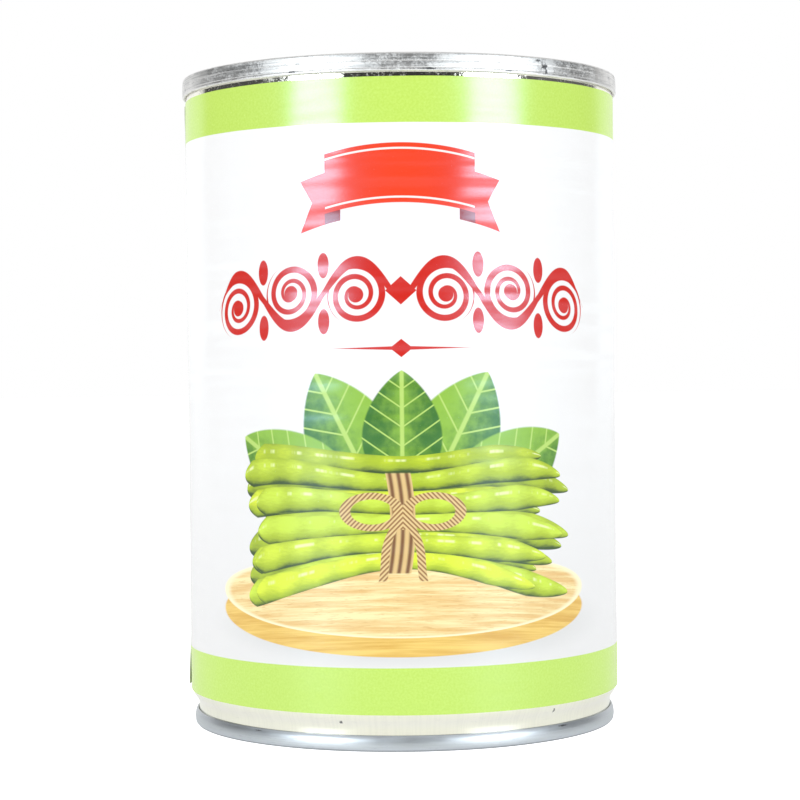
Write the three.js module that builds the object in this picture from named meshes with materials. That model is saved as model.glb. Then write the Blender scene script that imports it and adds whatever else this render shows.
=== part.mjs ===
// A food can: a tinplate body closed by a double-seamed lid at each end, wrapped in a paper label, and
// packed with upright green bean pods in brine. Millimetres, +Z up, with the origin at the centre of the
// foot and the front of the label at -Y.

import * as THREE from 'three';

// The standard 73 mm can
const CAN_HEIGHT = 109.5;
const BODY_RADIUS = 36.52; // outside of the tinplate wall
const NECK_IN = 1.12; // the foot is narrower by this, so that it stands inside the rim of the can below
const NECK_TOP = 3.6;
const SHOULDER_TOP = 5.8;
const SHOULDER_STEPS = 3;
const TIN = 0.18; // tinplate thickness

// The double seams: five layers of tinplate, with sealing compound between them
const SEAM_GAP = 0.04;
const TOP_SEAM_HEIGHT = 3.0;
const FOOT_SEAM_HEIGHT = 2.5;
const CROWN_RADIUS = 0.3;
const CROWN_SPACE = 0.24; // between the body's curl and the crown over it
const HOOK_SPACE = 0.35; // between the tip of a hook and the fold that it reaches into

// The lids, as depths below the crown of the seam
const COUNTERSINK_DEPTH = 4.3;
const COUNTERSINK_WIDTH = 1.3;
const PANEL_DEPTH = 3.4;
const PANEL_WALL = 0.9; // run of the slope between the panel and the countersink
const CHUCK_FOOT = 0.7; // size of the corner between the countersink and the chuck wall
const BEAD_RADII = [14.5, 24];
const BEAD_WIDTH = 3.6; // flat top of a stiffening ring
const BEAD_SLOPE = 0.9;
const BEAD_RISE = 0.55;

// The paper label
const PAPER = 0.12;
const GLUE_GAP = 0.05;
const LABEL_FOOT = 5.9;
const LABEL_TOP = 105.8;
const LAP_FACETS = 2; // the lap is this many facets of the can wide
const LAP_EDGE = -Math.PI / 2; // the lap's free edge, turned from the front to the left

// The contents
const FLOOR_GAP = 0.3;
const BRINE_RADIUS = 34.7;
const BRINE_TOP = 96.5;
const POD_RADIUS = 4.2;
const POD_LENGTH = 93;
const POD_LENGTH_SPREAD = 5;
const POD_RINGS = [1, 6, 12, 18];
const POD_RING_STEP = 9.7;
const POD_SOCKET_RADIUS = 4.65;
const POD_SIDES = 7;
const POD_OUTLINE = [
  // shares of a pod's radius and length: cut square at the stem, swollen over its seeds, drawn to a point
  [0, 0],
  [0.62, 0],
  [0.95, 0.1],
  [0.9, 0.36],
  [1, 0.62],
  [0.72, 0.9],
  [0, 1],
];
const GOLDEN_SHARE = 0.618034;
const SOCKET_SIDES = 8;

const FACETS = 48; // sides of everything that is round about the can's axis
const ARC_DIVISIONS = 1;

const LAYER = TIN + SEAM_GAP;
const WALL_LINE = BODY_RADIUS - TIN / 2; // middle of the tinplate wall
const NECK_LINE = WALL_LINE - NECK_IN;
const CURL_DEPTH = TIN + CROWN_SPACE + TIN / 2 + LAYER; // centre of the body's curl, below the crown

const tinplate = new THREE.MeshStandardMaterial({ color: 0xc4c6c8, roughness: 0.28, metalness: 1 });
const paper = new THREE.MeshStandardMaterial({ color: 0xf6f6f2, roughness: 0.42, metalness: 0 });
const compound = new THREE.MeshStandardMaterial({ color: 0x8d8f86, roughness: 0.8, metalness: 0 });
const liquid = new THREE.MeshStandardMaterial({ color: 0xdfe0a8, roughness: 0.1, metalness: 0 });
const pod = new THREE.MeshStandardMaterial({ color: 0x86a83a, roughness: 0.5, metalness: 0 });

const can = new THREE.Group();

function place(name, geometry, material) {
  const mesh = new THREE.Mesh(geometry, material);
  mesh.name = name;
  can.add(mesh);
  return mesh;
}

// A body of revolution about the can's axis, from an outline of radius and height
function turned(outline, sides = FACETS) {
  return new THREE.LatheGeometry(outline, sides).rotateX(Math.PI / 2);
}

// The outline of a bent sheet: its middle line, carried half a thickness to either side, with mitred corners
function sheetOutline(line, thickness) {
  const normals = line.slice(1).map((end, i) => {
    const run = end.clone().sub(line[i]).normalize();
    return new THREE.Vector2(run.y, -run.x);
  });
  const side = (sign) =>
    line.map((point, i) => {
      const before = normals[Math.max(i - 1, 0)];
      const after = normals[Math.min(i, normals.length - 1)];
      const mitre = before.clone().add(after).divideScalar(1 + before.dot(after));
      return point.clone().addScaledVector(mitre, (sign * thickness) / 2);
    });
  return [...side(1), ...side(-1).reverse()];
}

function closed(outline) {
  return [...outline, outline[0].clone()];
}

// The middle line of the tinplate wall: straight, but drawn in to the neck by a smooth shoulder at the foot
function wallLineAt(height) {
  const share = THREE.MathUtils.smoothstep(height, NECK_TOP, SHOULDER_TOP);
  return NECK_LINE + NECK_IN * share;
}

const shoulderHeights = Array.from(
  { length: SHOULDER_STEPS + 1 },
  (_, step) => THREE.MathUtils.lerp(NECK_TOP, SHOULDER_TOP, step / SHOULDER_STEPS),
);

// The body: a tube whose two rims are curled outwards into the seams. An arc is joined to what it follows
// by a straight line.
function bodyGeometry() {
  const topCurl = CAN_HEIGHT - CURL_DEPTH;
  const topHookTip = CAN_HEIGHT - TOP_SEAM_HEIGHT + TIN + HOOK_SPACE;
  const footHookTip = FOOT_SEAM_HEIGHT - TIN - HOOK_SPACE;
  const line = new THREE.Path();
  line.moveTo(NECK_LINE + 2 * LAYER, footHookTip);
  line.absarc(NECK_LINE + LAYER, CURL_DEPTH, LAYER, 0, -Math.PI, true);
  for (const height of shoulderHeights) {
    line.lineTo(wallLineAt(height), height);
  }
  line.absarc(WALL_LINE + LAYER, topCurl, LAYER, Math.PI, 0, true);
  line.lineTo(WALL_LINE + 2 * LAYER, topHookTip);
  return turned(closed(sheetOutline(line.getPoints(ARC_DIVISIONS), TIN)));
}

// The middle line of a lid, as radius and depth below the crown, for a body whose wall line there is given
function lidLine(wallLine, seamHeight) {
  const chuck = wallLine - LAYER;
  const outer = wallLine + 3 * LAYER;
  const hook = wallLine + LAYER;
  const crown = TIN / 2;
  const foldDepth = seamHeight - TIN / 2 - LAYER;
  const hookTip = CURL_DEPTH - LAYER + TIN / 2 + HOOK_SPACE;
  const countersinkOuter = chuck - CHUCK_FOOT;
  const countersinkInner = countersinkOuter - COUNTERSINK_WIDTH;
  const line = new THREE.Path();
  line.moveTo(0, PANEL_DEPTH);
  for (const radius of BEAD_RADII) {
    const half = BEAD_WIDTH / 2;
    line.lineTo(radius - half - BEAD_SLOPE, PANEL_DEPTH);
    line.lineTo(radius - half, PANEL_DEPTH - BEAD_RISE);
    line.lineTo(radius + half, PANEL_DEPTH - BEAD_RISE);
    line.lineTo(radius + half + BEAD_SLOPE, PANEL_DEPTH);
  }
  line.lineTo(countersinkInner - PANEL_WALL, PANEL_DEPTH);
  line.lineTo(countersinkInner, COUNTERSINK_DEPTH);
  line.lineTo(countersinkOuter, COUNTERSINK_DEPTH);
  line.lineTo(chuck, COUNTERSINK_DEPTH - CHUCK_FOOT);
  line.absarc(chuck + CROWN_RADIUS, crown + CROWN_RADIUS, CROWN_RADIUS, Math.PI, 1.5 * Math.PI);
  line.absarc(outer - CROWN_RADIUS, crown + CROWN_RADIUS, CROWN_RADIUS, 1.5 * Math.PI, 2 * Math.PI);
  line.absarc(wallLine + 2 * LAYER, foldDepth, LAYER, 0, Math.PI);
  line.lineTo(hook, hookTip);
  return line.getPoints(ARC_DIVISIONS);
}

// A ring of sealing compound lies in the crown of a seam, over the body's curl
function sealOutline(wallLine) {
  const half = CROWN_RADIUS / 2;
  const clear = CROWN_SPACE / 4;
  const middle = wallLine + LAYER;
  return [
    new THREE.Vector2(middle + half, TIN + clear),
    new THREE.Vector2(middle + half, TIN + CROWN_SPACE - clear),
    new THREE.Vector2(middle - half, TIN + CROWN_SPACE - clear),
    new THREE.Vector2(middle - half, TIN + clear),
  ];
}

const atTop = ({ x, y }) => new THREE.Vector2(x, CAN_HEIGHT - y);

place('can_body', bodyGeometry(), tinplate);

const topLid = sheetOutline(lidLine(WALL_LINE, TOP_SEAM_HEIGHT), TIN);
const footLid = sheetOutline(lidLine(NECK_LINE, FOOT_SEAM_HEIGHT), TIN);
place('top_end', turned(topLid.map(atTop).reverse()), tinplate);
place('bottom_end', turned(footLid), tinplate);

place('top_seal', turned(closed(sealOutline(WALL_LINE).map(atTop).reverse())), compound);
place('bottom_seal', turned(closed(sealOutline(NECK_LINE))), compound);

// The label: one flat strip of paper bent round the body, its last stretch glued over its first
function labelGeometry() {
  const columns = FACETS + LAP_FACETS;
  const strip = new THREE.BoxGeometry(columns, PAPER, LABEL_TOP - LABEL_FOOT, columns);
  const corner = strip.getAttribute('position');
  for (let i = 0; i < corner.count; i += 1) {
    const column = Math.round(corner.getX(i) + columns / 2);
    const overlap = column < FACETS ? 0 : PAPER + GLUE_GAP;
    const radius = BODY_RADIUS + GLUE_GAP + overlap + PAPER / 2 - corner.getY(i);
    const turn = LAP_EDGE + ((column - LAP_FACETS) * 2 * Math.PI) / FACETS;
    corner.setXY(i, radius * Math.sin(turn), -radius * Math.cos(turn));
  }
  strip.deleteAttribute('normal');
  return strip.translate(0, 0, (LABEL_FOOT + LABEL_TOP) / 2);
}

place('label', labelGeometry(), paper);

// Pods stand in rings round the can's axis
const podPlaces = POD_RINGS.flatMap((count, ring) =>
  Array.from({ length: count }, (_, i) => {
    const turn = (2 * Math.PI * (i + ring / 2)) / count;
    return new THREE.Vector2(Math.sin(turn), Math.cos(turn)).multiplyScalar(ring * POD_RING_STEP);
  }),
);
const floor = PANEL_DEPTH + TIN / 2 + FLOOR_GAP;

// The brine: a disc with a plain hole for each pod
function brineGeometry() {
  const polygon = (centre, radius, sides) =>
    Array.from({ length: sides }, (_, i) => {
      const turn = (2 * Math.PI * i) / sides;
      return new THREE.Vector2(Math.cos(turn), Math.sin(turn)).multiplyScalar(radius).add(centre);
    });
  const section = new THREE.Shape(polygon(new THREE.Vector2(), BRINE_RADIUS, FACETS));
  section.holes = podPlaces.map((at) => new THREE.Path(polygon(at, POD_SOCKET_RADIUS, SOCKET_SIDES)));
  const bottom = COUNTERSINK_DEPTH + TIN / 2 + FLOOR_GAP;
  const disc = new THREE.ExtrudeGeometry(section, { depth: BRINE_TOP - bottom, bevelEnabled: false });
  return disc.translate(0, 0, bottom);
}

place('brine', brineGeometry(), liquid);

// Each pod is a little shorter or longer, and turned on its axis, by steps that never fall into a pattern
podPlaces.forEach((at, i) => {
  const share = (i * GOLDEN_SHARE) % 1;
  const length = POD_LENGTH - POD_LENGTH_SPREAD * share;
  const outline = POD_OUTLINE.map(([x, y]) => new THREE.Vector2(x * POD_RADIUS, y * length));
  const bean = place(`bean_${String(i + 1).padStart(2, '0')}`, turned(outline, POD_SIDES), pod);
  bean.position.set(at.x, at.y, floor);
  bean.rotation.z = 2 * Math.PI * share;
});

export default can;
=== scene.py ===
import math
import random

import bmesh
import bpy
from mathutils import Matrix, Vector


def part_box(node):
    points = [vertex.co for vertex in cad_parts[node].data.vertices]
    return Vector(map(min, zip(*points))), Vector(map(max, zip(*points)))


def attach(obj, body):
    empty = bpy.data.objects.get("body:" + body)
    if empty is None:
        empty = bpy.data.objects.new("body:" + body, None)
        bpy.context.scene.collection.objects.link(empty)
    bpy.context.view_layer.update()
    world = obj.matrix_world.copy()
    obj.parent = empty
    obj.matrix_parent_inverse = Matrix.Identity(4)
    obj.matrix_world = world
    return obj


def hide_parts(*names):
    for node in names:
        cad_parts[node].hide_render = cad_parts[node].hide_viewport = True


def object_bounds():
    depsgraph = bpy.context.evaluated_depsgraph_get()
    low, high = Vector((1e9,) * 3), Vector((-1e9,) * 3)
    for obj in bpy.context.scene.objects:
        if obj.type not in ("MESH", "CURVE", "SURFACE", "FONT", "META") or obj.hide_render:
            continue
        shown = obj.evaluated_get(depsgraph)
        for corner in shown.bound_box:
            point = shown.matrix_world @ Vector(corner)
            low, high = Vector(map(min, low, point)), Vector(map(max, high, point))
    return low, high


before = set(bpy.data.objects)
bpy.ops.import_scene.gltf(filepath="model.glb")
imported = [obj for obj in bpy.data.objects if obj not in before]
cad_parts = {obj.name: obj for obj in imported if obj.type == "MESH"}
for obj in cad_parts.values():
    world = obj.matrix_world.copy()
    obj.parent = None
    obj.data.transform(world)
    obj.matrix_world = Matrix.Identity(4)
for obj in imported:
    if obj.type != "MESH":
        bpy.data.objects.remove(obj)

cad_low, cad_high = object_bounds()
MM = 0.001

# The studio: a white table that runs into a white sweep, in a dim room with a soft fill. Two soft
# boxes in front, each of three panes, make the streaks on the metal and the label. The camera stands
# a little above half the can's height.
CAMERA_AWAY = 380.3 * MM
CAMERA_HEIGHT = 60.8 * MM
CAMERA_SENSOR = 36
CAMERA_LENS = 99.05
CAMERA_DIP = math.radians(0.92)
CAMERA_ROLL = math.radians(-0.55)
CAMERA_TURN = math.radians(0.047)

scene = bpy.context.scene
scene.view_settings.view_transform = "Standard"

camera = bpy.data.objects.new("camera", bpy.data.cameras.new("camera"))
scene.collection.objects.link(camera)
scene.camera = camera
camera.data.sensor_width = CAMERA_SENSOR
camera.data.lens = CAMERA_LENS
camera.location = (0, -CAMERA_AWAY, CAMERA_HEIGHT)
tilt = Matrix.Rotation(math.pi / 2 - CAMERA_DIP, 4, "X")
aim = Matrix.Rotation(CAMERA_TURN, 4, "Z") @ tilt @ Matrix.Rotation(CAMERA_ROLL, 4, "Z")
camera.rotation_euler = aim.to_euler()


def feed(node, sockets):
    """Sets a node's sockets, by name or number, to plain values or links them to other nodes."""
    for key, value in dict(sockets).items():
        if isinstance(value, Value):
            node.id_data.links.new(value.socket, node.inputs[key])
        else:
            node.inputs[key].default_value = value


class Value:
    """An output of a shader node. Sums written with it add the Math nodes that work them out."""

    def __init__(self, socket):
        self.socket = socket

    def node(self, kind, settings=(), sockets=(), output=0):
        """Adds a node of any kind beside this one."""
        made = self.socket.id_data.nodes.new("ShaderNode" + kind)
        for name, setting in dict(settings).items():
            setattr(made, name, setting)
        feed(made, sockets)
        return Value(made.outputs[output])

    def math(self, operation, *others):
        return self.node("Math", {"operation": operation}, enumerate((self, *others)))

    def reverse(self, operation, other):
        return self.node("Math", {"operation": operation}, {0: other, 1: self})

    def __add__(self, other):
        return self.math("ADD", other)

    def __sub__(self, other):
        return self.math("SUBTRACT", other)

    def __mul__(self, other):
        return self.math("MULTIPLY", other)

    def __truediv__(self, other):
        return self.math("DIVIDE", other)

    def __pow__(self, other):
        return self.math("POWER", other)

    def __rsub__(self, other):
        return self.reverse("SUBTRACT", other)

    def __rtruediv__(self, other):
        return self.reverse("DIVIDE", other)

    def __abs__(self):
        return self.math("ABSOLUTE")

    __radd__ = __add__
    __rmul__ = __mul__

    def rise(self, low, high):
        """Climbs smoothly from 0 to 1 as the value goes from low to high."""
        return self.node("MapRange", {"interpolation_type": "SMOOTHSTEP"}, {0: self, 1: low, 2: high})

    def ink(self, under, over):
        """A colour laid over another wherever this mask is 1."""
        return self.node("Mix", {"data_type": "RGBA"}, {0: self, 6: under, 7: over}, 2)

    def parts(self):
        return [self.node("SeparateXYZ", (), {0: self}, axis) for axis in range(3)]


def vector(*parts):
    """A vector put together from values and plain numbers."""
    value = next(part for part in parts if isinstance(part, Value))
    return value.node("CombineXYZ", (), enumerate(parts))


ROOM_WHITE = (1, 1, 1, 1)
ROOM_LIGHT = 0.042
LEFT_WALL_LIGHT = 0.03
RIGHT_WALL_LIGHT = 0.08
ROOM_WALL_STARTS = 0.6
ROOM_WALL_FULL = 0.95
CEILING_LIGHT = 0.7
CEILING_STARTS = 0.2
SWEEP_STARTS = 0.57
SWEEP_FULL = 0.66
FILL_LIGHT = 0.33
FILL_CENTRE = 0.08

room = bpy.data.worlds.new("dim_room")
room.use_nodes = True
room.cycles.sampling_method = "NONE"
scene.world = room
towards = Value(room.node_tree.nodes.new("ShaderNodeTexCoord").outputs["Generated"])
sideways, backwards, upwards = towards.parts()
sweep = backwards.rise(SWEEP_STARTS, SWEEP_FULL)
right_wall = sideways.rise(ROOM_WALL_STARTS, ROOM_WALL_FULL) * RIGHT_WALL_LIGHT
left_wall = sideways.rise(-ROOM_WALL_STARTS, -ROOM_WALL_FULL) * LEFT_WALL_LIGHT
ceiling = upwards.rise(CEILING_STARTS, 1) * CEILING_LIGHT
dim = ceiling + (right_wall + left_wall) + ROOM_LIGHT
soft_fill = abs(sideways - FILL_CENTRE) + FILL_LIGHT
matt = towards.node("LightPath", output="Is Diffuse Ray")
seen = towards.node("LightPath", output="Is Camera Ray")
lit = matt * soft_fill + (1 - matt) * dim
feed(room.node_tree.nodes["Background"], {
    "Color": ROOM_WHITE,
    "Strength": lit.math("MAXIMUM", sweep).math("MAXIMUM", seen),
})

# A box has its hand, its turn about the can and its width; a pane its foot, its height and its glow.
BOX_AWAY = 0.95
SOFT_BOXES = (("left", math.radians(-43.8), 0.44), ("right", math.radians(48.7), 0.475))
BOX_PANES = (("low", 0.07, 0.088, 2.2), ("middle", 0.16, 0.1, 16.5), ("high", 0.262, 0.118, 8.4))
BOX_COLOUR = (0.88, 0.95, 1)

for hand, turn, width in SOFT_BOXES:
    for pane, foot, height, glow in BOX_PANES:
        box = bpy.data.lights.new(f"soft_box_{hand}_{pane}", "AREA")
        box.shape = "RECTANGLE"
        box.size = width
        box.size_y = height
        box.color = BOX_COLOUR
        box.energy = glow * math.pi * width * height
        lamp = bpy.data.objects.new(box.name, box)
        scene.collection.objects.link(lamp)
        lamp.visible_camera = False
        lamp.location = Matrix.Rotation(turn, 3, "Z") @ Vector((0, -BOX_AWAY, foot + height / 2))
        lamp.rotation_euler = (math.pi / 2, 0, turn)

SHARP_ANGLE = math.radians(50)


def finish(name):
    """A new material, with its shader and the place on the piece in millimetres."""
    material = bpy.data.materials.new(name)
    material.use_nodes = True
    nodes = material.node_tree.nodes
    place = Value(nodes.new("ShaderNodeTexCoord").outputs["Object"])
    place = place.node("VectorMath", {"operation": "SCALE"}, {0: place, "Scale": 1 / MM})
    return material, nodes["Principled BSDF"], place


def shown(name, shape, material):
    """The finished object of a bmesh."""
    mesh = bpy.data.meshes.new(name)
    shape.to_mesh(mesh)
    shape.free()
    mesh.shade_smooth()
    mesh.set_sharp_from_angle(angle=SHARP_ANGLE)
    mesh.materials.append(material)
    made = bpy.data.objects.new(name, mesh)
    scene.collection.objects.link(made)
    return made


TABLE_HALF = 4
TABLE_GREY = (0.6, 0.6, 0.6, 1)
TABLE_WHITE = (1, 1, 1, 1)
TABLE_SHEEN = (0.35, 0.35, 0.35, 1)
TABLE_FILL = (0.11, 0.11, 0.11, 1)

white_table, shader, place = finish("white_table")
white_table.cycles.emission_sampling = "NONE"
matt = place.node("LightPath", output="Is Diffuse Ray")
seen = place.node("LightPath", output="Is Camera Ray")
feed(shader, {
    "Base Color": TABLE_GREY,
    "Roughness": 0.5,
    "Specular IOR Level": 0.1,
    "Emission Color": seen.ink(matt.ink(TABLE_SHEEN, TABLE_FILL), TABLE_WHITE),
    "Emission Strength": 1.0,
})
shape = bmesh.new()
bmesh.ops.create_grid(shape, x_segments=1, y_segments=1, size=TABLE_HALF)
shown("table", shape, white_table)


# The body: a tube rolled from one tinplate sheet and welded down the back. Its foot is drawn in to
# stand inside the rim of a can below, and both of its rims are curled over into the seams. A strip of
# it shows at each end of the label.
TIN = 0.18 * MM
LAYER = 0.22 * MM
HEIGHT = cad_high.z
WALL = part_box("can_body")[1].x - 2 * LAYER - TIN / 2
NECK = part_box("bottom_end")[1].x - 3 * LAYER - TIN / 2
NECK_FOOT = 2.6 * MM
NECK_TOP = 3.95 * MM
SHOULDER_TOP = 5.45 * MM
SHOULDER_ROUND = 0.7 * MM
WALL_FOOT = 7 * MM
WALL_TOP = HEIGHT - 2 * MM
CURL_DEPTH = 0.53 * MM
CURL_ROUND = 0.2 * MM
TOP_CURL_LENGTH = 2.4 * MM
FOOT_CURL_LENGTH = 1.95 * MM
TURNS = 180
ROUND_STEPS = 5
SAME_POINT = 1e-7


def spun(shape, outline, steps):
    """Takes an outline once round the upright axis."""
    bmesh.ops.spin(shape, geom=outline, axis=(0, 0, 1), cent=(0, 0, 0), angle=2 * math.pi,
                   steps=steps, use_merge=True)


def closed_up(shape):
    """Merges doubled points and turns every face outwards."""
    bmesh.ops.remove_doubles(shape, verts=shape.verts, dist=SAME_POINT)
    bmesh.ops.recalc_face_normals(shape, faces=shape.faces)


def turned(corners, closed=False):
    """A sheet turned about the can's axis, from corners of radius, height and rounding."""
    shape = bmesh.new()
    points = [shape.verts.new((radius, 0, height)) for radius, height, _ in corners]
    for start, end in zip(points, points[1:] + points[:1] * closed):
        shape.edges.new((start, end))
    for point, (_, _, rounding) in zip(points, corners):
        if rounding:
            bmesh.ops.bevel(shape, geom=[point], offset=rounding, offset_type="OFFSET",
                            affect="VERTICES", segments=ROUND_STEPS, profile=0.5, material=-1)
    spun(shape, shape.verts[:] + shape.edges[:], TURNS)
    closed_up(shape)
    return shape


def thick(made, thickness):
    """Gives a sheet its thickness, half to either side."""
    wall = made.modifiers.new("thickness", "SOLIDIFY")
    wall.thickness = thickness
    wall.offset = 0
    wall.use_even_offset = True


def srgb(red, green, blue):
    """A colour given as a picture shows it, from 0 to 255."""
    return (*(((c / 255 + 0.055) / 1.055) ** 2.4 for c in (red, green, blue)), 1)


def noise(place, scale, detail, roughness=0.5):
    """Noise that runs right through a piece."""
    return place.node("TexNoise", (), {
        "Vector": place, "Scale": scale, "Detail": detail, "Roughness": roughness})


def speckle(x, y, fine_x, fine_y, detail=3):
    """Noise on a surface, finer or coarser along and across it."""
    return x.node("TexNoise", {"noise_dimensions": "2D"}, {
        "Vector": vector(x * fine_x, y * fine_y, 0), "Scale": 1, "Detail": detail, "Roughness": 0.6})


def oval(x, y, centre, half):
    """Distance from the middle of an oval, 1 on its edge."""
    across = (x - centre[0]) / half[0]
    up = (y - centre[1]) / half[1]
    return (across * across + up * up).math("SQRT")


# Within a finish, places are in millimetres. Knocks are ovals on the unrolled side of the can.
LID_FLAT = 33.2
LINE_GREY = srgb(118, 124, 130)
LINE_SHADE = 0.35
LINE_EDGE = (0.62, 0.3)
LINE_HEIGHT = 0.6
CLOUD_HEIGHT = 0.9
SCUFF_GREY = srgb(108, 114, 120)
SCUFF_SHADE = 0.6
SCUFF_STRETCH = (0.35, 2.2)
SCUFF_EDGE = (0.56, 0.7)
SCUFF_DULLS = 0.18
SCUFF_DEPTH = 0.6
FLECK_EDGE = (0.42, 0.66)
FLECK_HEIGHTS = (90, 104)
FLECK_DULLS = 0.27
PAINTED_SHADE_GREY = srgb(82, 84, 88)
KNOCK_EDGE = (2.5, 1.7)
KNOCK_RAGGED = 2.4
KNOCK_PAINTED_SHADE = 0.85
KNOCK_DEPTH = 2
OFF_THE_LID = 3
# A painted contact shadow: the foot's bottom edge is darkened where the can stands on the table.
FOOT_PAINTED_SHADOW = 0.45
FOOT_PAINTED_SHADOW_HEIGHTS = (0.34, 0.14)
FINE_RELIEF = 0.02 * MM


def tinplate(name, tint, roughness, lines, relief, wear, knocks):
    """Tinned steel with lines from the rolls, scuffs, flecks near the rim, painted shade in its knocks
    and a painted shadow at its foot.
    """
    material, shader, place = finish(name)
    x, y, z = place.parts()
    around = x.math("ARCTAN2", 0 - y) * (WALL / MM)
    flat = (x * x + y * y).math("LESS_THAN", LID_FLAT ** 2)
    across = around + (x - around) * flat
    along = z + (y - z) * flat
    line = speckle(across, along, *lines)
    cloud = noise(place, 0.4, 4, 0.6)
    grit = noise(place, 3, 3)
    scuff = noise(vector(across * SCUFF_STRETCH[0], along * SCUFF_STRETCH[1], 0), 1.3, 6, 0.7)
    scuff = scuff.rise(*SCUFF_EDGE) * wear
    fleck = (grit * 0.5 + cloud * 0.5).rise(*FLECK_EDGE) * z.rise(*FLECK_HEIGHTS) * FLECK_DULLS
    nearest = oval(around, z, *knocks[0])
    for centre, half in knocks[1:]:
        nearest = nearest.math("MINIMUM", oval(around, z, centre, half))
    knock = (nearest + grit * KNOCK_RAGGED + flat * OFF_THE_LID).rise(*KNOCK_EDGE)
    # Painted shade: the knocks are real dents in relief, but their darkening is painted shade; the
    # foot's bottom edge gets a painted contact shadow.
    painted_shade = (knock * KNOCK_PAINTED_SHADE).math("MAXIMUM", z.rise(*FOOT_PAINTED_SHADOW_HEIGHTS) * FOOT_PAINTED_SHADOW)
    colour = (line.rise(*LINE_EDGE) * LINE_SHADE * wear).ink(tint, LINE_GREY)
    colour = (scuff * SCUFF_SHADE).ink(colour, SCUFF_GREY)
    height = line * LINE_HEIGHT + cloud * CLOUD_HEIGHT - scuff * SCUFF_DEPTH - knock * KNOCK_DEPTH
    feed(shader, {
        "Base Color": painted_shade.ink(colour, PAINTED_SHADE_GREY),
        "Metallic": 1.0,
        "Roughness": (line + cloud + 1) * (roughness / 2) + scuff * SCUFF_DULLS + fleck,
        "Normal": place.node("Bump", (), {
            "Strength": relief, "Distance": FINE_RELIEF, "Height": height}),
    })
    return material


body_tin = tinplate(
    "body_tinplate", tint=srgb(250, 248, 236), roughness=0.06, lines=(2.4, 0.08), relief=0.04,
    wear=0.12, knocks=[((-10.3, 4.6), (0.25, 0.25)), ((26.4, 5.0), (0.2, 0.35))])
body = shown("tin_body", turned([
    (NECK + 2 * LAYER, FOOT_CURL_LENGTH, 0),
    (NECK + 2 * LAYER, CURL_DEPTH - LAYER, CURL_ROUND),
    (NECK, CURL_DEPTH - LAYER, CURL_ROUND),
    (NECK, NECK_FOOT, 0),
    (NECK, NECK_TOP, SHOULDER_ROUND),
    (WALL, SHOULDER_TOP, SHOULDER_ROUND),
    (WALL, WALL_FOOT, 0),
    (WALL, WALL_TOP, 0),
    (WALL, HEIGHT - CURL_DEPTH + LAYER, CURL_ROUND),
    (WALL + 2 * LAYER, HEIGHT - CURL_DEPTH + LAYER, CURL_ROUND),
    (WALL + 2 * LAYER, HEIGHT - TOP_CURL_LENGTH, 0),
]), body_tin)
thick(body, TIN)
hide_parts("can_body")
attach(body, "root")


# The lids: pressed tinplate discs with two stiffening rings, a countersink, and a rim that is rolled
# together with the body's rim into a five-layer seam. The top seam is scuffed from handling and has
# two creases in its face; the foot's is smoother and rounder.
BEADS = (14.5 * MM, 24 * MM)
BEAD_HALF = 1.8 * MM
BEAD_SLOPE = 0.9 * MM
BEAD_RISE = 0.55 * MM
BEAD_ROUND = 0.4 * MM
PANEL = 3.4 * MM
COUNTERSINK = 4.3 * MM
COUNTERSINK_WIDTH = 1.3 * MM
COUNTERSINK_ROUNDS = (0.5 * MM, 0.45 * MM)
CHUCK_FOOT = 0.7 * MM
CHUCK_ROUND = 0.4 * MM
CROWN_ROUND = 0.26 * MM
HOOK_ROUND = 0.2 * MM
HOOK_TIP = 1.0 * MM


def lid_panel(wall):
    """Corners of a lid from its centre to its seam's crown: radius, depth from the crown, rounding."""
    chuck = wall - LAYER
    sink = chuck - CHUCK_FOOT
    corners = [(0, PANEL, 0)]
    for radius in BEADS:
        corners += [
            (radius - BEAD_HALF - BEAD_SLOPE, PANEL, BEAD_ROUND),
            (radius - BEAD_HALF, PANEL - BEAD_RISE, BEAD_ROUND),
            (radius + BEAD_HALF, PANEL - BEAD_RISE, BEAD_ROUND),
            (radius + BEAD_HALF + BEAD_SLOPE, PANEL, BEAD_ROUND),
        ]
    return corners + [
        (sink - COUNTERSINK_WIDTH - BEAD_SLOPE, PANEL, BEAD_ROUND),
        (sink - COUNTERSINK_WIDTH, COUNTERSINK, COUNTERSINK_ROUNDS[0]),
        (sink, COUNTERSINK, COUNTERSINK_ROUNDS[1]),
        (chuck, COUNTERSINK - CHUCK_FOOT, CHUCK_ROUND),
        (chuck, TIN / 2, CROWN_ROUND),
    ]


def fold(wall, seam):
    """Corners of the seam's fold and of the hook inside it."""
    return [
        (wall + 3 * LAYER, seam - TIN / 2, HOOK_ROUND),
        (wall + LAYER, seam - TIN / 2, HOOK_ROUND),
        (wall + LAYER, HOOK_TIP, 0),
    ]


TOP_SEAM = 3 * MM
TOP_FACE = WALL + 3 * LAYER
TOP_FACE_LEAN = 0.08 * MM
CREASE_HALF = 0.1 * MM
CREASE_ROUND = 0.03 * MM
CREASE_EDGE_ROUND = 0.05 * MM

# Each crease has its depth below the crown, and how far its upper edge, floor and lower edge lie in.
CREASES = (
    (1.36 * MM, 0.02 * MM, 0.05 * MM, 0.01 * MM),
    (2.46 * MM, 0.02 * MM, 0.06 * MM, 0),
)

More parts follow.
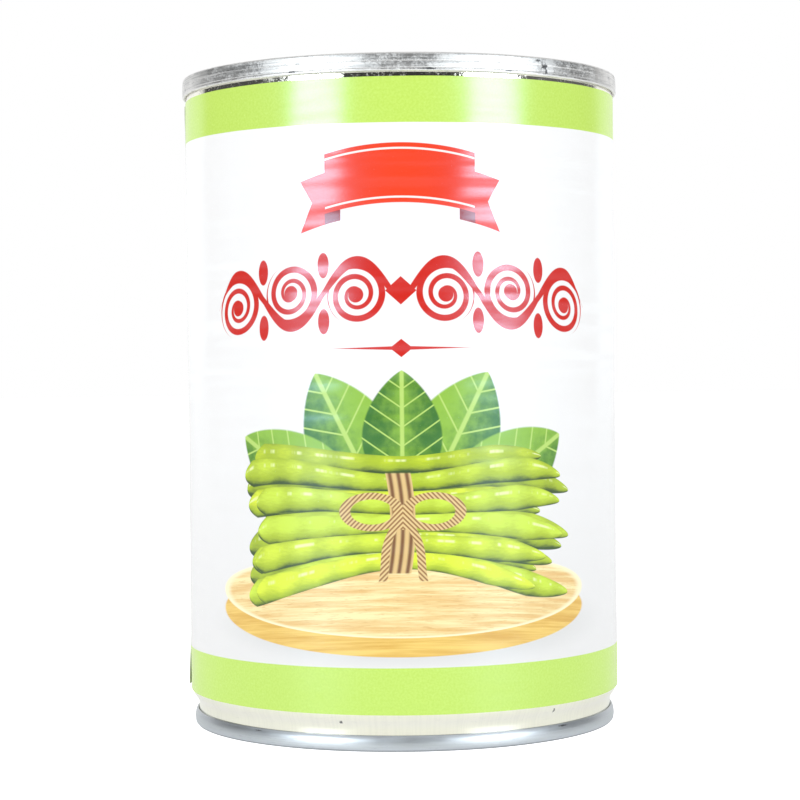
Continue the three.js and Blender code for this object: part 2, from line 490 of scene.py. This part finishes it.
# The rim's long thin knocks lie along its lower crease and darken it with painted shade.
rim_tin = tinplate(
    "rim_tinplate", tint=srgb(246, 245, 243), roughness=0.34, lines=(0.06, 5), relief=0.4, wear=1.0,
    knocks=[
        ((24.6, 108.1), (0.65, 0.5)), ((23.4, 108.9), (0.5, 0.2)), ((25.0, 107.2), (0.25, 0.4)),
        ((17.8, 106.9), (0.9, 0.15)), ((4.6, 106.9), (1.2, 0.15)), ((-17.0, 107.0), (0.9, 0.15))])
top_lid = lid_panel(WALL) + [(TOP_FACE - TOP_FACE_LEAN, TIN / 2, CROWN_ROUND)]
for depth, upper, floor, lower in CREASES:
    top_lid += [
        (TOP_FACE - upper, depth - CREASE_HALF, CREASE_EDGE_ROUND),
        (TOP_FACE - floor, depth, CREASE_ROUND),
        (TOP_FACE - lower, depth + CREASE_HALF, CREASE_EDGE_ROUND),
    ]
top_lid += fold(WALL, TOP_SEAM)
top_corners = [(radius, HEIGHT - depth, rounding) for radius, depth, rounding in top_lid]
top_end = shown("top_lid", turned(top_corners), rim_tin)
thick(top_end, TIN)
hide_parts("top_end")
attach(top_end, "root")

FOOT_SEAM = 2.5 * MM
FOOT_FACE = NECK + 3 * LAYER

# Up the rounded face of the foot's seam: how far each point lies in from the widest, and its height.
FOOT_ROUND = (
    (0.22 * MM, 0.1 * MM),
    (0.08 * MM, 0.28 * MM),
    (0.02 * MM, 0.6 * MM),
    (0, 1.0 * MM),
    (0.035 * MM, 1.45 * MM),
    (0.1 * MM, 1.85 * MM),
    (0.2 * MM, 2.15 * MM),
    (0.34 * MM, FOOT_SEAM - TIN / 2),
)

foot_tin = tinplate(
    "foot_tinplate", tint=srgb(212, 217, 222), roughness=0.42, lines=(0.06, 5), relief=0.3, wear=0.3,
    knocks=[((29.0, 2.2), (1.2, 0.12)), ((-26.0, 2.2), (0.8, 0.1))])
foot_lid = lid_panel(NECK) + [(FOOT_FACE - inset, height, 0) for inset, height in FOOT_ROUND]
foot_lid += fold(NECK, FOOT_SEAM)[1:]
bottom_end = shown("foot_lid", turned(foot_lid), foot_tin)
thick(bottom_end, TIN)
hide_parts("bottom_end")
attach(bottom_end, "root")


# The seals: rings of grey sealing compound, flowed into the lids' rims before seaming and squeezed in
# the crowns of the seams.
SEAL_WIDTH = 0.3 * MM
SEAL_ROUND = 0.04 * MM
COMPOUND_DARK = srgb(130, 132, 124)
COMPOUND_LIGHT = srgb(160, 161, 152)

compound, shader, place = finish("sealing_compound")
grain = noise(place, 6, 3)
feed(shader, {
    "Base Color": grain.ink(COMPOUND_DARK, COMPOUND_LIGHT),
    "Roughness": 0.7 + grain * 0.2,
    "Normal": place.node("Bump", (), {"Strength": 0.4, "Distance": FINE_RELIEF, "Height": grain}),
})
for end in ("top", "bottom"):
    low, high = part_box(f"{end}_seal")
    inner = high.x - SEAL_WIDTH
    ring = [
        (inner, low.z, SEAL_ROUND),
        (high.x, low.z, SEAL_ROUND),
        (high.x, high.z, SEAL_ROUND),
        (inner, high.z, SEAL_ROUND),
    ]
    seal = shown(f"{end}_seal_ring", turned(ring, closed=True), compound)
    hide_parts(f"{end}_seal")
    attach(seal, "root")


# The contents: whole fine bean pods, cooked and packed upright, in a pale brine that stops short of
# the lid. Each pod is trimmed at the stem, swells over its seeds and draws to a point.
POD_SEEDS = 7
POD_SIDES = 12
POD_ROWS = 4 * POD_SEEDS
POD_SWELL = 0.1
POD_ENDS = 5
POD_STEM = 0.6
POD_TIP = 1.02
POD_TIP_BLUNT = 0.6
POD_TURN = 6
POD_DARK = srgb(110, 132, 40)
POD_LIGHT = srgb(176, 195, 70)
FIBRE_DRAWN = (3, 3, 0.15)

pod_green, shader, place = finish("cooked_pod")
mottle = noise(place, 0.5, 5, 0.65)
fibre = noise(place.node("VectorMath", {"operation": "MULTIPLY"}, {0: place, 1: FIBRE_DRAWN}), 1, 3)
feed(shader, {
    "Base Color": mottle.ink(POD_DARK, POD_LIGHT),
    "Roughness": 0.3 + fibre * 0.25,
    "Normal": place.node("Bump", (), {
        "Strength": 0.4, "Distance": 0.1 * MM, "Height": fibre + mottle * 0.5}),
    "Subsurface Weight": 0.15,
    "Subsurface Radius": (0.004, 0.006, 0.002),
})
shape = bmesh.new()
draw = random.Random(11)
beans = [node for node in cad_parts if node.startswith("bean_")]
for node in beans:
    low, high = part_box(node)
    centre = (low + high) / 2
    length = high.z - low.z
    girth = (high.x - low.x) / 2
    points = [shape.verts.new((0, 0, 0))]
    for row in range(POD_ROWS + 1):
        share = row / POD_ROWS
        swell = 1 - POD_SWELL + POD_SWELL * math.sin(2 * math.pi * POD_SEEDS * share)
        stem = min(1, POD_STEM + POD_ENDS * share)
        tip = min(1, (POD_TIP - share) * POD_ENDS) ** POD_TIP_BLUNT
        taper = stem * tip
        points.append(shape.verts.new((girth * swell * taper, 0, length * share)))
    points.append(shape.verts.new((0, 0, length)))
    wire = [shape.edges.new(pair) for pair in zip(points, points[1:])]
    spun(shape, points + wire, POD_SIDES)
    pod = [v for v in shape.verts if not v.tag]
    spin = Matrix.Rotation(draw.uniform(0, POD_TURN), 3, "Z")
    bmesh.ops.rotate(shape, verts=pod, cent=(0, 0, 0), matrix=spin)
    bmesh.ops.translate(shape, verts=pod, vec=(centre.x, centre.y, low.z))
    for v in pod:
        v.tag = True
closed_up(shape)
pods = shown("bean_pods", shape, pod_green)
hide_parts(*beans)
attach(pods, "root")

BRINE_GAP = 0.12 * MM
BRINE_INSIDE = WALL - TIN / 2 - BRINE_GAP
BRINE_NECK = NECK - TIN / 2 - BRINE_GAP
BRINE_SHOULDER = SHOULDER_TOP + 0.3 * MM
MENISCUS = 0.6 * MM
BRINE_CLEAR = srgb(238, 238, 190)
BRINE_CLOUDY = srgb(224, 228, 160)

liquid, shader, place = finish("brine")
feed(shader, {
    "Base Color": noise(place, 0.12, 4).ink(BRINE_CLEAR, BRINE_CLOUDY),
    "Roughness": 0.03,
    "IOR": 1.34,
    "Transmission Weight": 0.9,
})
low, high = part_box("brine")
brine = shown("brine_fill", turned([
    (0, low.z, 0),
    (BRINE_NECK, low.z, 0.3 * MM),
    (BRINE_NECK, NECK_TOP, 0.2 * MM),
    (BRINE_INSIDE, BRINE_SHOULDER, 0.8 * MM),
    (BRINE_INSIDE, high.z + MENISCUS, 0),
    (BRINE_INSIDE - MENISCUS, high.z, 0.5 * MM),
    (0, high.z, 0),
]), liquid)
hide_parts("brine")
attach(brine, "root")


# The label: one strip of coated paper, printed in offset, wrapped round the body and glued over its
# own start at the left. It reaches from just under the top seam to the shoulder at the foot, and lime
# bands close it there. The lap's corners have come loose.
PAPER = 0.12 * MM
GLUE = 0.05 * MM
LAP_EDGE = -math.pi / 2
LAP_TURN = math.radians(15)
LAP_RAMP = math.radians(3)
LAP_LIFT = 0.36 * MM
TOP_LIFT = 0.45
TOP_LIFT_REACH = 1 / 12
FOOT_LIFT_REACH = 1 / 9
SKEW = 0.15 * MM
WAVE = 0.018 * MM
WAVES = ((9, 11), (23, -20))
COLUMNS = 288
ROWS = 60

label_low, label_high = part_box("label")


def climb(share):
    """Smooth step from 0 to 1."""
    share = min(1, max(0, share))
    return share * share * (3 - 2 * share)


shape = bmesh.new()
bmesh.ops.create_grid(shape, x_segments=COLUMNS, y_segments=ROWS, size=0.5)
for corner in shape.verts:
    left = (0.5 - corner.co.x) * (2 * math.pi + LAP_TURN)
    turn = LAP_EDGE - left
    share = corner.co.y + 0.5
    lap = climb((LAP_TURN + LAP_RAMP - left) / LAP_RAMP)
    at_top = climb(1 - (1 - share) / TOP_LIFT_REACH) * TOP_LIFT
    at_foot = climb(1 - share / FOOT_LIFT_REACH)
    loose = climb(1 - left / LAP_TURN) * (at_top + at_foot)
    wave = sum(math.sin(round_can * turn + up_can * share) for round_can, up_can in WAVES)
    radius = WALL + TIN / 2 + GLUE + lap * (PAPER + GLUE) + loose * LAP_LIFT + WAVE * wave
    height = label_low.z + share * (label_high.z - label_low.z + SKEW * math.sin(turn))
    corner.co = (radius * math.sin(turn), -radius * math.cos(turn), height)
sheet = bmesh.ops.extrude_face_region(shape, geom=shape.faces[:] + shape.edges[:] + shape.verts[:],
                                      use_keep_orig=True)
for face in shape.faces:
    face.material_index = 1
for made in sheet["geom"]:
    if isinstance(made, bmesh.types.BMVert):
        made.co.xy *= 1 + PAPER / made.co.xy.length
    if isinstance(made, bmesh.types.BMFace):
        made.material_index = 0
bmesh.ops.recalc_face_normals(shape, faces=shape.faces)

# The print is drawn flat, in millimetres: x runs along the label from the middle of either front, and
# up runs from the foot. A pair of limits is where an edge starts to show and where it is full.
PRINT_RADIUS = 36.7
HALF_WAY = math.pi * PRINT_RADIUS / 2
PRINT_EDGE = 0.08

coated_paper, shader, place = finish("printed_paper")
px, py, up = place.parts()
around = px.math("ARCTAN2", 0 - py) * PRINT_RADIUS
x = around.math("WRAP", HALF_WAY, -HALF_WAY)
side = abs(x)


def within(distance, soft=PRINT_EDGE):
    """1 where the distance from a printed edge is below 0, and 0 outside."""
    return distance.rise(soft, -soft)


BOARD_HALF = (33.5, 6.6)
BOARD_FACE = (0, 24.6)
BOARD_FOOT = (0, 21.6)
BOARD_EDGE = (1.008, 0.99)
BOARD_LIP = (0.93, 0.985)
BOARD_BEND = 0.002
SHADOW_CENTRE = (1.5, 19.2)
SHADOW_HALF = (37, 6.2)
SHADOW_EDGE = (1.12, 0.6)
SHADOW_DEPTH = 0.2
SHADOW_GREY = srgb(150, 148, 140)
BOARD_RIM_DARK = srgb(218, 166, 64)
BOARD_RIM_LIGHT = srgb(246, 208, 110)
BOARD_FACE_DARK = srgb(232, 188, 116)
BOARD_FACE_LIGHT = srgb(251, 232, 172)
BOARD_PORE = srgb(206, 148, 72)
BOARD_LIP_LIGHT = srgb(254, 240, 198)


def board(under):
    """An oval wooden board, seen low from the front, with its shadow."""
    shadow = oval(x, up, SHADOW_CENTRE, SHADOW_HALF).rise(*SHADOW_EDGE) * SHADOW_DEPTH
    under = shadow.ink(under, SHADOW_GREY)
    lie = up + side * side * BOARD_BEND
    grain = speckle(x, lie, 0.05, 0.9, 5) * 0.7 + speckle(x, lie, 0.09, 3.4) * 0.3
    pores = speckle(x, lie, 0.4, 5.5, 2).rise(0.6, 0.7) * 0.4
    rim = grain.rise(0.3, 0.7).ink(BOARD_RIM_DARK, BOARD_RIM_LIGHT)
    under = oval(x, up, BOARD_FOOT, BOARD_HALF).rise(*BOARD_EDGE).ink(under, rim)
    top = oval(x, up, BOARD_FACE, BOARD_HALF)
    face = grain.rise(0.34, 0.66).ink(BOARD_FACE_DARK, BOARD_FACE_LIGHT)
    face = pores.ink(face, BOARD_PORE)
    face = top.rise(*BOARD_LIP).ink(face, BOARD_LIP_LIGHT)
    return top.rise(*BOARD_EDGE).ink(under, face)


LEAF_BASE = 0.55
LEAF_TIP = 0.8
LEAF_FULL = 1.25
LEAF_EDGE = 0.03
VEINS = 6
VEIN_SLANT = 0.5
VEIN_WIDTH = (0.07, 0.02)
RIB_WIDTH = (0.035, 0.015)
LEAF_LIGHT_SIDE = 0.7
LEAF_MOTTLE = 0.5
DARK_TO_LIGHT = (0.2, 0.85)
LEAF_DARK = srgb(62, 116, 30)
LEAF_LIGHT = srgb(146, 190, 58)
LEAF_VEIN = srgb(186, 216, 106)


def leaf(under, base, turn, length, width):
    """A bean leaf with its veins, drawn alike on both sides of the picture."""
    out = side - base[0]
    high = up - base[1]
    along = out * (math.cos(turn) / length) + high * (math.sin(turn) / length)
    along = along.math("MAXIMUM", 0).math("MINIMUM", 1)
    across = out * (-math.sin(turn) / width) + high * (math.cos(turn) / width)
    half = along ** LEAF_BASE * (1 - along) ** LEAF_TIP * LEAF_FULL
    blade = (half - abs(across)).rise(0, LEAF_EDGE)
    vein = ((along - abs(across) * VEIN_SLANT) * VEINS).math("PINGPONG", 0.5).rise(*VEIN_WIDTH)
    rib = abs(across).rise(*RIB_WIDTH)
    light = across.rise(-0.5, 0.5) * LEAF_LIGHT_SIDE + speckle(side, up, 0.5, 0.5) * LEAF_MOTTLE
    green = light.rise(*DARK_TO_LIGHT).ink(LEAF_DARK, LEAF_LIGHT)
    return blade.ink(under, vein.math("MAXIMUM", rib).ink(green, LEAF_VEIN))


# Each end of a pod has how fast and how bluntly it fills out; bend and swell, a pitch and a depth.
BUNDLE = 36.0
BUNDLE_HALF = 27
BUNDLE_WAIST = 0.68
BUNDLE_FLARE = 0.42
BUNDLE_SAG = 0.004
POD_PITCH = 4.3
LEFT_STAGGER = 7
RIGHT_STAGGER = 8
BLUNT_END = (0.5, 0.5)
POINTED_END = (0.11, 0.55)
PRINT_BEND = (0.16, 0.12)
PRINT_SWELL = (1.1, 0.07)
ANY_PHASE = 6.3
THINNEST = 0.02
POD_EDGE = 0.1
ROUND_LIGHT = 0.62
UPPER_LIGHT = 0.3
MOTTLE_LIGHT = 0.24
CHANCE_LIGHT = 0.16
SHADE_TO_MID = (-0.05, 0.45)
MID_TO_LIGHT = (0.4, 0.82)
GLOSS = 0.75
GLOSS_AT = 0.42
GLOSS_WIDTH = (0.2, 0.03)
SHADE_GREEN = srgb(62, 80, 6)
MID_GREEN = srgb(172, 192, 26)
LIGHT_GREENS = (srgb(226, 238, 44), srgb(206, 232, 64))
GLOSS_GREEN = srgb(246, 252, 186)


def pod_layer(under, seed, middle, rows, reach, shade):
    """One layer of glossy pods in a tied bundle: blunt at the left end and pointed at the right."""
    spread = side.rise(0, BUNDLE_HALF) * BUNDLE_FLARE + BUNDLE_WAIST
    rows_up = (up + x * x * BUNDLE_SAG - middle) / spread * (1 / POD_PITCH) + rows / 2
    row = rows_up.math("FLOOR")
    chance = x.node("TexWhiteNoise", {"noise_dimensions": "1D"}, {"W": row + seed}, 1)
    first, second, third = chance.parts()
    phase = third * ANY_PHASE
    left = (x + reach + first * LEFT_STAGGER).math("MAXIMUM", 0)
    right = (reach + second * RIGHT_STAGGER - x).math("MAXIMUM", 0)
    blunt = (left * BLUNT_END[0]).math("MINIMUM", 1) ** BLUNT_END[1]
    pointed = (right * POINTED_END[0]).math("MINIMUM", 1) ** POINTED_END[1]
    girth = blunt * pointed
    bend = (x * PRINT_BEND[0] + phase).math("SINE") * PRINT_BEND[1]
    across = ((rows_up - row) * 2 - 1 + bend) / girth.math("MAXIMUM", THINNEST)
    inside = (1 - abs(across)).rise(0, POD_EDGE) * girth.rise(THINNEST, POD_EDGE)
    inside = inside * abs(rows_up - rows / 2).math("LESS_THAN", rows / 2)
    swell = (x * PRINT_SWELL[0] + phase).math("SINE") * PRINT_SWELL[1]
    round_side = (1 - across * across).math("MAXIMUM", 0).math("SQRT") * ROUND_LIGHT
    mottle = speckle(x, up, 0.7, 2.6) * MOTTLE_LIGHT - MOTTLE_LIGHT / 2
    light = round_side + across * UPPER_LIGHT + swell + third * CHANCE_LIGHT + mottle - shade
    pod = light.rise(*SHADE_TO_MID).ink(SHADE_GREEN, MID_GREEN)
    pod = light.rise(*MID_TO_LIGHT).ink(pod, second.ink(*LIGHT_GREENS))
    gloss = abs(across - GLOSS_AT).rise(*GLOSS_WIDTH) * speckle(x, row, 0.28, 7.3).rise(0.5, 0.62)
    return inside.ink(under, (gloss * GLOSS).ink(pod, GLOSS_GREEN))


TWINE_HALF = (2.05, 1.9)
TWINE_HEIGHT = (8.0, 7.7)
TWINE_BOW = 0.012
CORD_PITCH = 0.75
CORD_SHADOW = srgb(128, 84, 40)
CORD_LIGHT = srgb(226, 190, 126)
LOOP_CENTRE = (4.9, BUNDLE + 1.8)
LOOP_HALF = (4.3, 2.5)
LOOP_WIDTH = (0.24, 0.18)
BOW_TAIL_START = 1.0
BOW_TAIL_SLANT = 0.3
BOW_TAIL_WIDTH = (0.75, 0.6)
BOW_TAIL_TOP = (-0.2, 0.1)
BOW_TAIL_TIP = (9.2, 9.0)
KNOT_CENTRE = (0, BUNDLE + 0.3)
KNOT_HALF = (1.5, 1.3)
OVAL_EDGE = (1.05, 0.95)
STRAND_PITCH = 1.3
STRAND_DARK = srgb(150, 102, 52)
STRAND_LIGHT = srgb(232, 200, 138)


def twine(under):
    """Brown twine wound three times round the bundle, with a bow."""
    high = up - BUNDLE
    wound = x + high * high * TWINE_BOW
    cord = (wound * CORD_PITCH).math("PINGPONG", 0.5) * 2
    band = abs(wound).rise(*TWINE_HALF) * abs(high).rise(*TWINE_HEIGHT)
    under = band.ink(under, cord.rise(0.1, 0.8).ink(CORD_SHADOW, CORD_LIGHT))
    loop = abs(oval(side, up, LOOP_CENTRE, LOOP_HALF) - 1).rise(*LOOP_WIDTH)
    drop = BUNDLE - up
    curl = (drop * 0.5).math("SINE") * 0.5
    tail = abs(side - BOW_TAIL_START - drop * BOW_TAIL_SLANT - curl).rise(*BOW_TAIL_WIDTH)
    tail = tail * drop.rise(*BOW_TAIL_TOP) * drop.rise(*BOW_TAIL_TIP)
    knot = oval(x, up, KNOT_CENTRE, KNOT_HALF).rise(*OVAL_EDGE)
    strand = ((side + up) * STRAND_PITCH).math("PINGPONG", 0.5).rise(0.05, 0.4)
    bow = strand.ink(STRAND_DARK, STRAND_LIGHT)
    return loop.math("MAXIMUM", tail).math("MAXIMUM", knot).ink(under, bow)


RIBBON = 90.8
RIBBON_BOW = 0.011
RIBBON_HALF = (4.75, 4.6)
RIBBON_END = (12.1, 11.95)
TUCK_START = (9.4, 9.5)
TUCK_END = (12.1, 12.0)
TUCK_FOOT = (-6.4, -6.3)
TUCK_TOP = (-4.6, -4.7)
RIBBON_TAIL_DROP = 2.3
RIBBON_TAIL_HALF = (4.15, 4.0)
RIBBON_TAIL_REACH = 14.2
NOTCH_SLANT = 0.5
STRIPE_AT = 3.8
STRIPE_WIDTH = (0.2, 0.12)
STRIPE_END = (12.0, 11.9)
SHEEN_PITCH = 0.16
RIBBON_TAIL_RED = srgb(236, 50, 10)
TUCK_RED = srgb(150, 24, 14)
RIBBON_REDS = (srgb(224, 46, 18), srgb(240, 64, 22))
STRIPE_WHITE = srgb(246, 232, 226)


def ribbon(under):
    """A plain red ribbon with folded ends."""
    high = up - RIBBON + side * side * RIBBON_BOW
    low = high + RIBBON_TAIL_DROP
    notch = RIBBON_TAIL_REACH + abs(low) * NOTCH_SLANT
    tail = abs(low).rise(*RIBBON_TAIL_HALF) * within(side - notch) * side.rise(*TUCK_START)
    under = tail.ink(under, RIBBON_TAIL_RED)
    tuck = side.rise(*TUCK_START) * side.rise(*TUCK_END) * high.rise(*TUCK_FOOT) * high.rise(*TUCK_TOP)
    under = tuck.ink(under, TUCK_RED)
    panel = abs(high).rise(*RIBBON_HALF) * side.rise(*RIBBON_END)
    sheen = (side * SHEEN_PITCH).math("COSINE") * 0.5 + 0.5
    under = panel.ink(under, sheen.ink(*RIBBON_REDS))
    stripe = abs(abs(high) - STRIPE_AT).rise(*STRIPE_WIDTH) * side.rise(*STRIPE_END)
    return stripe.ink(under, STRIPE_WHITE)


SCROLL = 72.4
SCROLL_BOW = 0.0022
SCROLL_CELL = 11.0
SCROLL_CELLS = 3
SCROLL_START = 1.4
SCROLL_WAVE = 4.7
SCROLL_THINS = 2.55
STEM_SWELL = 0.45
STEM_WIDTH = 0.4
VOLUTE_SHIFT = (0.2, -0.5)
VOLUTE_START = 5.0
VOLUTE_PITCH = 1.75
VOLUTE_FLARE = 0.09
VOLUTE_WIDTH = 0.16
VOLUTE_RIM = (4.75, 4.65)
BALL_RIM = (1.3, 1.15)
DROP_CENTRE = (SCROLL_CELL / 2, 4.4)
DROP_HALF = (0.95, 2.0)
BUD_NARROW = 0.9
BUD_RIM = (2.3, 2.15)
SCROLL_RED = srgb(208, 32, 10)


def scroll(under):
    """A red vine scroll: a waving stem with a volute in each bend, alike on both sides of a bud."""
    cells = (side - SCROLL_START) / SCROLL_CELL
    cell = cells.math("FLOOR")
    along = (cells - cell - 0.5) * SCROLL_CELL
    flip = 1 - cell.math("FLOORED_MODULO", 2) * 2
    high = (up - SCROLL + side * side * SCROLL_BOW) * flip
    phase = along * (math.pi / SCROLL_CELL)
    slope = phase.math("SINE") * (SCROLL_WAVE * math.pi / SCROLL_CELL)
    crest = phase.math("COSINE")
    off_stem = abs(high - crest * SCROLL_WAVE) / (slope * slope + 1).math("SQRT")
    stem = within(off_stem - (crest * STEM_SWELL + STEM_WIDTH) * cells.rise(SCROLL_CELLS, SCROLL_THINS))
    out = along - VOLUTE_SHIFT[0]
    over = high - VOLUTE_SHIFT[1]
    reach = (out * out + over * over).math("SQRT")
    winds = (VOLUTE_START - reach) / VOLUTE_PITCH - over.math("ARCTAN2", out) / (2 * math.pi)
    off_volute = abs(winds - winds.math("ROUND")) * VOLUTE_PITCH
    volute = within(off_volute - reach * VOLUTE_FLARE - VOLUTE_WIDTH) * reach.rise(*VOLUTE_RIM)
    ball = reach.rise(*BALL_RIM)
    off_middle = abs(cells - SCROLL_CELLS / 2)
    drop = oval(abs(along), abs(high), DROP_CENTRE, DROP_HALF).rise(*OVAL_EDGE)
    drop = drop * off_middle.math("LESS_THAN", SCROLL_CELLS / 2 - 0.5)
    vine = stem.math("MAXIMUM", volute).math("MAXIMUM", ball).math("MAXIMUM", drop)
    vine = vine * off_middle.math("LESS_THAN", SCROLL_CELLS / 2)
    bud = (side * BUD_NARROW + abs(up - SCROLL)).rise(*BUD_RIM)
    return vine.math("MAXIMUM", bud).ink(under, SCROLL_RED)


DIVIDER = 63.4
RULE_HALF = 11
RULE_TAPER = 0.03
RULE_EDGE = 0.06
LOZENGE_NARROW = 0.8
LOZENGE_RIM = (1.5, 1.38)


def divider(under):
    """A thin rule that swells to a lozenge in the middle."""
    off = abs(up - DIVIDER)
    rule = within(off - (RULE_HALF - side) * RULE_TAPER, RULE_EDGE)
    lozenge = (side * LOZENGE_NARROW + off).rise(*LOZENGE_RIM)
    return rule.math("MAXIMUM", lozenge).ink(under, SCROLL_RED)


FRAME_MIDDLE = (68.3, 56)
FRAME_HALF = (10.9, 40.5)
FRAME_SHIFT = 0.7
FRAME_LINE = (0.45, 0.32)
FRAME_RULES = 0.16
FRAME_RULE_WIDTH = (0.03, 0.015)
FRAME_RULE_INSET = (-1.5, -1.6)
FRAME_RULE_GREEN = srgb(150, 186, 130)
FRAME_GREEN = srgb(28, 84, 44)


def side_panel(under):
    """An empty framed table on each side of the can, between the two fronts of the label."""
    edge = abs(abs(around + FRAME_SHIFT) - FRAME_MIDDLE[0]) - FRAME_HALF[0]
    edge = edge.math("MAXIMUM", abs(up - FRAME_MIDDLE[1]) - FRAME_HALF[1])
    rules = (up * FRAME_RULES).math("PINGPONG", 0.5).rise(*FRAME_RULE_WIDTH)
    rules = rules * edge.rise(*FRAME_RULE_INSET)
    under = rules.ink(under, FRAME_RULE_GREEN)
    return abs(edge).rise(*FRAME_LINE).ink(under, FRAME_GREEN)


WHITE = (0.89, 0.862, 0.846, 1)
SOFT_WHITE = (0.906, 0.88, 0.866, 1)
LOWER_SHADE_GREY = (0.8, 0.768, 0.752, 1)
LOWER_SHADE_HEIGHTS = (70, 10)
LIME = srgb(199, 228, 101)
DEEP_LIME = srgb(191, 222, 90)
LABEL_MIDDLE = 55.95
BANDS_FROM = (42.6, 42.72)
VARNISH = (0.55, 0.82, 1, 1)
RIPPLE = 0.11
LOOSE_RIPPLE = 0.22
LOOSE_FOOT = (54, 64)
LOOSE_TOP = (97, 92)
FIBRE_RELIEF = 0.006

colour = speckle(around, up, 0.25, 0.25).ink(WHITE, SOFT_WHITE)
# Painted shade: the white of the paper greys towards the foot of the label.
colour = up.rise(*LOWER_SHADE_HEIGHTS).ink(colour, LOWER_SHADE_GREY)
colour = board(colour)
colour = leaf(colour, base=(4, 40), turn=math.radians(63), length=22, width=15)
colour = leaf(colour, base=(8, 38), turn=math.radians(30), length=23, width=14)
colour = leaf(colour, base=(0, 42), turn=math.radians(90), length=18, width=13)
colour = pod_layer(colour, seed=3.1, middle=BUNDLE + 3.2, rows=5, reach=22, shade=0.28)
colour = pod_layer(colour, seed=14.7, middle=BUNDLE + 0.6, rows=5, reach=23, shade=0.14)
colour = pod_layer(colour, seed=27.4, middle=BUNDLE - 1.6, rows=4, reach=21, shade=0.0)
colour = twine(colour)
colour = divider(colour)
colour = scroll(colour)
colour = ribbon(colour)
colour = side_panel(colour)
fibre = speckle(around, up, 2.6, 2.6, 4)
bands = abs(up - LABEL_MIDDLE).rise(*BANDS_FROM)
colour = bands.ink(colour, fibre.rise(0.3, 0.7).ink(DEEP_LIME, LIME))
slack = up.rise(*LOOSE_TOP) * up.rise(*LOOSE_FOOT) * LOOSE_RIPPLE + RIPPLE
ripple = (speckle(around, up, 0.02, 0.28, 1) - 0.5) * slack
feed(shader, {
    "Base Color": colour,
    "Roughness": fibre * 0.1 + 0.2,
    "Normal": place.node("Bump", (), {"Distance": MM, "Height": fibre * FIBRE_RELIEF + ripple}),
    "Specular IOR Level": 1.0,
    "Specular Tint": VARNISH,
})

BARE_DARK = srgb(214, 212, 206)
BARE_LIGHT = srgb(236, 234, 228)

bare_paper, shader, place = finish("bare_paper")
fibre = noise(place, 2.5, 4)
feed(shader, {
    "Base Color": fibre.ink(BARE_DARK, BARE_LIGHT),
    "Roughness": fibre * 0.2 + 0.65,
    "Normal": place.node("Bump", (), {"Strength": 0.3, "Distance": FINE_RELIEF, "Height": fibre}),
})
label = shown("paper_label", shape, coated_paper)
label.data.materials.append(bare_paper)
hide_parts("label")
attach(label, "root")
